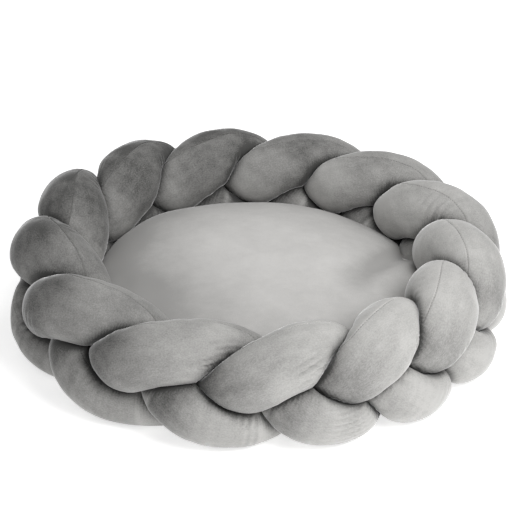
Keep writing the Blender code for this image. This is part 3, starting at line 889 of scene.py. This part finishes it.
def cushion_reach(angle):
    """Distance from the middle to the cushion's edge, an even curve inside the wall of strands."""
    around = np.arctan2(CENTRE_SAMPLES[:, 1], CENTRE_SAMPLES[:, 0])
    away = np.hypot(CENTRE_SAMPLES[:, 0], CENTRE_SAMPLES[:, 1])
    lift = CENTRE_SAMPLES[:, 2] - BULGE_HEIGHT
    wall = away - np.sqrt(np.maximum(STRAND_RADIUS ** 2 - lift ** 2, 0))
    wall[np.abs(lift) > 0.9 * STRAND_RADIUS] = 1
    beside = np.abs(angle_gap(around, angle[:, None]))
    nearest = np.where(beside < EDGE_VIEW, wall, 1).min(axis=1)
    shifts = range(-EDGE_EVEN, EDGE_EVEN + 1)
    return sum(np.roll(nearest, shift) for shift in shifts) / len(shifts) + PRESSED_IN


def cushion_top(velvet_tree):
    """Rings of the cushion's top panel, from the seam to the crown, pressed in by the strands."""
    angle = np.arange(CUSHION_COLUMNS) * TURN / CUSHION_COLUMNS
    edge = cushion_reach(angle)
    level = np.linspace(0, 1, SIDE_ROWS, endpoint=False)[:, None]
    lowest = SEAM_HEIGHT + SEAM_GAP
    side_z = lowest + (BULGE_HEIGHT - lowest) * level
    margin = SEAM_FLAT * zip_share(angle)[None, :]
    swell = np.clip((side_z - lowest - margin) / (BULGE_HEIGHT - lowest - margin), 0, 1)
    side_r = SEAM_RADIUS + (edge - SEAM_RADIUS) * np.sin(swell * pi / 2) ** EDGE_ROUND
    reach = (1 - np.linspace(0, 1, DOME_ROWS) ** 1.05 * 0.994)[:, None]
    dome_r = edge * reach
    steep, full = CROWN_SHAPE
    dome_z = BULGE_HEIGHT + (CROWN_HEIGHT - BULGE_HEIGHT) * (1 - reach ** steep) ** full
    r, z = np.concatenate([side_r, dome_r]), np.concatenate([side_z, dome_z])
    x, y = r * np.cos(angle), r * np.sin(angle)
    above = np.clip((z - BULGE_HEIGHT + 0.012) / 0.024, 0, 1)
    z = z - above * hollow(x, y, *CUSHION_FOLD, *FOLD_SIZE)
    z = z - above * hollow(x, y, *FRONT_DENT, *DENT_SIZE)
    for middle_x, middle_y, size, height in DOME_SWELLS:
        z = z + height * above * np.exp(-((x - middle_x) ** 2 + (y - middle_y) ** 2) / size ** 2)
    fine = 0.5 * MM * (np.sin(52 * x + 31 * y + 1.0) * np.sin(44 * y - 23 * x + 0.4)
                       + 0.5 * np.sin(117 * x - 61 * y) * np.sin(93 * y + 48 * x + 2.0))
    points = np.stack([x, y, z + above * fine], -1)
    return press_in(points, velvet_tree)


def press_in(points, velvet_tree):
    """Push the cushion out of the strands and even it out where they press on it."""
    fixed = np.ones(points.shape[:2])
    fixed[:3] = 0
    fixed[-2:] = 0
    rounds = PRESS_ROUNDS
    reach = np.hypot(points[..., 0], points[..., 1])
    near_wall = np.argwhere((reach > PRESS_FROM) & (points[..., 2] > SEAM_HEIGHT + 2 * MM))
    for step in range(rounds):
        for i, j in near_wall:
            place = Vector(points[i, j])
            found, normal, _, _ = velvet_tree.find_nearest(place)
            depth = COVER_GAP - (place - found).dot(normal)
            if depth > 0:
                points[i, j] += np.array(normal) * min(depth, PRESS_MOST)
        if step < rounds - 1:
            mean = (np.roll(points, 1, 1) + np.roll(points, -1, 1)) / 2
            mean[1:-1] = (mean[1:-1] + (points[:-2] + points[2:]) / 2) / 2
            near = np.clip((reach - EVEN_FROM) / EVEN_FADE, 0, 1) * fixed
            points += EVEN_SHARE * near[..., None] * (mean - points)
    return points


def cushion_under():
    """Rings of the cushion's bottom panel, from the seam to the middle of its flat bottom."""
    angle = np.arange(CUSHION_COLUMNS) * TURN / CUSHION_COLUMNS
    turn = np.linspace(0, pi / 2, 12)[:, None]
    corner = SEAM_HEIGHT - SEAM_FLAT
    r = UNDERSIDE_RADIUS + (SEAM_RADIUS - UNDERSIDE_RADIUS) * np.cos(turn)
    z = CUSHION_FLOOR + (corner - CUSHION_FLOOR) * (1 - np.sin(turn))
    r = np.concatenate([[[SEAM_RADIUS]], r, np.linspace(UNDERSIDE_RADIUS, 0.002, UNDER_ROWS)[1:, None]])
    z = np.concatenate([[[SEAM_HEIGHT - SEAM_GAP]], z, np.full((UNDER_ROWS - 1, 1), CUSHION_FLOOR)])
    x, y = r * np.cos(angle), r * np.sin(angle)
    pucker = 0.6 * MM * np.sin(24 * angle + 2 * np.sin(5 * angle)) * np.exp(-((r - 0.2) / 0.012) ** 2)
    crease = 0.8 * MM * np.maximum(np.sin(40 * x + 25 * y) * np.sin(33 * y - 14 * x), 0)
    return np.stack([x, y, z + np.abs(pucker) + crease * (r < UNDERSIDE_RADIUS)], -1)


def panel(name, outer, facing, slot, material):
    """A cloth panel: the outer rings and, one cloth's thickness in, the inner ones."""
    rows, columns = outer.shape[:2]
    along = np.gradient(outer, axis=0)
    around = np.roll(outer, -1, 1) - np.roll(outer, 1, 1)
    inner = outer - facing * unit(np.cross(around, along)) * PANEL
    faces = grid_quads(rows, columns)
    inside = faces[:, ::-1] + rows * columns
    first = np.arange(columns)
    after = (first + 1) % columns
    rim = np.stack([first, first + rows * columns, after + rows * columns, after], -1)
    faces = np.concatenate([faces, inside, rim])
    if facing < 0:
        faces = faces[:, ::-1]
    last = (rows - 1) * columns
    caps = [last + first, (last + rows * columns + first)[::-1]]
    faces = faces.tolist() + [cap[::facing].tolist() for cap in caps]
    points = np.concatenate([outer, inner]).reshape(-1, 3)
    x, y = points[:, 0], points[:, 1]
    flat = points[:, :2] * (1 + 0.4 * np.hypot(x, y))[:, None]
    cloth = np.concatenate([flat[np.array(face)] for face in faces])
    out = np.hypot(x, y) / SEAM_RADIUS
    left = np.minimum(x / SEAM_RADIUS + 0.15, 0)
    # Painted shade: darker towards the wall, on the left, beside the fold and in the front dent.
    lay_and_shade = CUSHION_LAY_AND_SHADE - EDGE_SHADE * out ** 2.5 + LEFT_SHADE * out * left
    lay_and_shade -= hollow(x - FOLD_SHADE_ASIDE[0], y - FOLD_SHADE_ASIDE[1], *CUSHION_FOLD, *FOLD_SHADE)
    lay_and_shade -= hollow(x, y, *FRONT_DENT, *DENT_SHADE)
    piece = add_mesh(name, points, faces, "cushion", slot, material, cloth, lay_and_shade)
    return piece


def rim_stitch(angle, height, above_cloth):
    """One stitch on the cushion's upright margin."""
    return thread_tube(polar(SEAM_RADIUS + above_cloth, angle, height), THREAD_RADIUS, 5)


def build_cushion(velvet_tree, velvet, lining, fibre, thread):
    """The cushion's two panels, its filling and the thread of its seam and of the zip."""
    top, under = cushion_top(velvet_tree), cushion_under()
    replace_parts(panel("cushion_top_velvet", top, 1, "cushion_velvet", velvet), "cushion_top_panel")
    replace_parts(panel("cushion_bottom_lining", under, -1, "cushion_lining", lining),
                "cushion_bottom_panel")
    core = np.concatenate([under[::-3], top[::3]])
    middle = np.array((0, 0, 0.055))
    core = middle + (core - middle) * (1 - FILLING_GAP / lengths(core - middle))[..., None]
    piece = add_mesh("cushion_filling", core.reshape(-1, 3), tube_faces(*core.shape[:2]), "cushion",
                     "polyester_fibre", fibre)
    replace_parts(piece, "cushion_fibre_filling")
    zip_end = ZIP_START + ZIP_SWEEP
    stitches = []
    for height in (SEAM_HEIGHT - ZIP_SEAM, SEAM_HEIGHT + ZIP_SEAM):
        for start in np.arange(ZIP_START - radians(1), zip_end + radians(1), STITCH_SPACING / SEAM_RADIUS):
            angle = start + np.linspace(0, STITCH_LENGTH / SEAM_RADIUS, 4)
            stitches.append(rim_stitch(angle, height, 0.15 * MM))
    rise_of_stitch = np.linspace(-1, 1, 5)
    for start in np.arange(zip_end + radians(3), ZIP_START + TURN - radians(3),
                           PANEL_STITCH_SPACING / SEAM_RADIUS):
        angle = start + PANEL_STITCH_SLANT * rise_of_stitch
        stitches.append(rim_stitch(angle, SEAM_HEIGHT + PANEL_STITCH_REACH * rise_of_stitch, 0.35 * MM))
    add_mesh("cushion_seam_thread", *join_tubes(stitches), "cushion", "sewing_thread", thread)


# ---------------- zip

def build_zip(tape, coil):
    """Woven tapes behind the cushion's panels and the coil's turns along the seam."""
    tape_radius = (SEAM_RADIUS - PANEL) * cos(pi / 44) - 0.3 * MM
    for name, side in (("upper", 1), ("lower", -1)):
        angle = ZIP_START + np.linspace(0, ZIP_SWEEP, 200)
        profile = np.array(((0, TAPE_GAP), (0, TAPE_WIDTH), (-TAPE_THICK, TAPE_WIDTH),
                            (-TAPE_THICK, TAPE_GAP)))
        if side < 0:
            profile = profile[::-1] * (1, -1)
        rings = polar(tape_radius + profile[:, 0], angle[:, None], SEAM_HEIGHT + profile[:, 1])
        faces = grid_quads(len(angle), 4)[:, ::-1].tolist()
        faces += [[0, 1, 2, 3], [len(angle) * 4 - k for k in (1, 2, 3, 4)]]
        piece = add_mesh(f"zip_{name}_woven_tape", rings.reshape(-1, 3), faces, "cushion", "zip_tape", tape)
        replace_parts(piece, f"zip_{name}_tape")

        turns = int(SEAM_RADIUS * ZIP_SWEEP / COIL_PITCH)
        share = np.arange(turns * COIL_STEPS + 1) / (turns * COIL_STEPS)
        bend = TURN * turns * share
        angle = ZIP_START + COIL_ENDS + (ZIP_SWEEP - 2 * COIL_ENDS) * share
        r = SEAM_RADIUS + COIL_OUT[0] + COIL_OUT[1] * np.sin(bend)
        height = SEAM_HEIGHT + side * (COIL_UP[0] - COIL_UP[1] * side * np.cos(bend))
        turns_of_coil = thread_tube(polar(r, angle, height), COIL_THREAD, 5)
        piece = add_mesh(f"zip_{name}_coil_turns", *turns_of_coil, "cushion", "zip_coil", coil)
        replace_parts(piece, f"zip_{name}_coil")


def paint_nodes(metal):
    """The CAD nodes that stay: the slider, its pull and the end stops."""
    for name in ("zip_slider", "zip_pull", "zip_top_stop", "zip_bottom_stop"):
        node = bpy.data.objects[name]
        node.data.materials.clear()
        node.data.materials.append(metal)


# ---------------- studio

def build_studio():
    """A white floor, an even sky, a soft light close by on the right, a weaker one above, the camera."""
    nodes = Nodes("studio_floor", 0.9)
    nodes.colour(nodes.noise((3, 3, 3), 2, 0.5, on_cloth=False), (0.93, 0.93, 0.93), (0.95, 0.95, 0.95))
    nodes.shader.inputs["Emission Color"].default_value = (1, 1, 1, 1)
    nodes.shader.inputs["Emission Strength"].default_value = FLOOR_GLOW
    bpy.ops.mesh.primitive_plane_add(size=FLOOR_SIZE)
    floor = bpy.context.object
    floor.name = "studio_floor"
    floor.data.materials.append(nodes.material)
    scene = bpy.context.scene
    scene.view_settings.view_transform = "Standard"
    scene.world = bpy.data.worlds.new("studio")
    scene.world.use_nodes = True
    sky = scene.world.node_tree.nodes["Background"]
    sky.inputs["Color"].default_value = (1, 1, 1, 1)
    sky.inputs["Strength"].default_value = SKY

    for name, place, size, power in SOFTBOXES:
        light = bpy.data.lights.new(name, "AREA")
        light.shape = "DISK"
        light.size = size
        light.energy = power
        lamp = bpy.data.objects.new(name, light)
        bpy.context.collection.objects.link(lamp)
        lamp.location = place
        toward = Vector(LAMP_TARGET) - lamp.location
        lamp.rotation_euler = toward.to_track_quat("-Z", "Y").to_euler()

    camera = bpy.data.objects.new("camera", bpy.data.cameras.new("camera"))
    bpy.context.collection.objects.link(camera)
    away = Vector((0, -cos(CAMERA_ELEVATION), sin(CAMERA_ELEVATION)))
    camera.location = Vector(CAMERA_TARGET) + away * CAMERA_DISTANCE
    camera.rotation_euler = (pi / 2 - CAMERA_ELEVATION, 0, 0)
    camera.data.lens = CAMERA_LENS
    camera.data.shift_x, camera.data.shift_y = CAMERA_SHIFT
    scene.camera = camera


strand_velvet = velvet_material("strand_velvet", (0.080, 0.0795, 0.077), (0.49, 0.484, 0.47), 0.95,
                                (0.28, 0.27, 0.11, 0.10, 0.24))
cushion_velvet = velvet_material("cushion_velvet", (0.345, 0.340, 0.332), (0.625, 0.616, 0.602), 0.4,
                                 (0.50, 0.15, 0.08, 0.12, 0.15))
thread = spun_material("sewing_thread", (0.10, 0.10, 0.095), (0.20, 0.198, 0.19), 2500, 0.6)
fibre = spun_material("polyester_fibre", (0.75, 0.75, 0.73), (0.92, 0.92, 0.90), 600, 0.95)
lining = weave_material("cushion_lining", (0.30, 0.298, 0.29), (0.42, 0.417, 0.40), 900)
base_cloth = weave_material("base_cloth", (0.20, 0.20, 0.195), (0.32, 0.318, 0.31), 700)
tape = weave_material("zip_tape", (0.40, 0.398, 0.39), (0.52, 0.517, 0.50), 1200, on_cloth=False)
coil = spun_material("zip_coil", (0.36, 0.358, 0.35), (0.46, 0.457, 0.45), 900, 0.35, 0.0)
metal = metal_material("zip_metal")

strands = build_strands(strand_velvet, fibre, thread)
rows, columns = strands.shape[:2]
velvet_tree = BVHTree.FromPolygons(strands.reshape(-1, 3).tolist(),
                                   grid_quads(rows, columns, closed_rows=True).tolist())
build_base(base_cloth)
build_cushion(velvet_tree, cushion_velvet, lining, fibre, thread)
build_zip(tape, coil)
paint_nodes(metal)
build_studio()
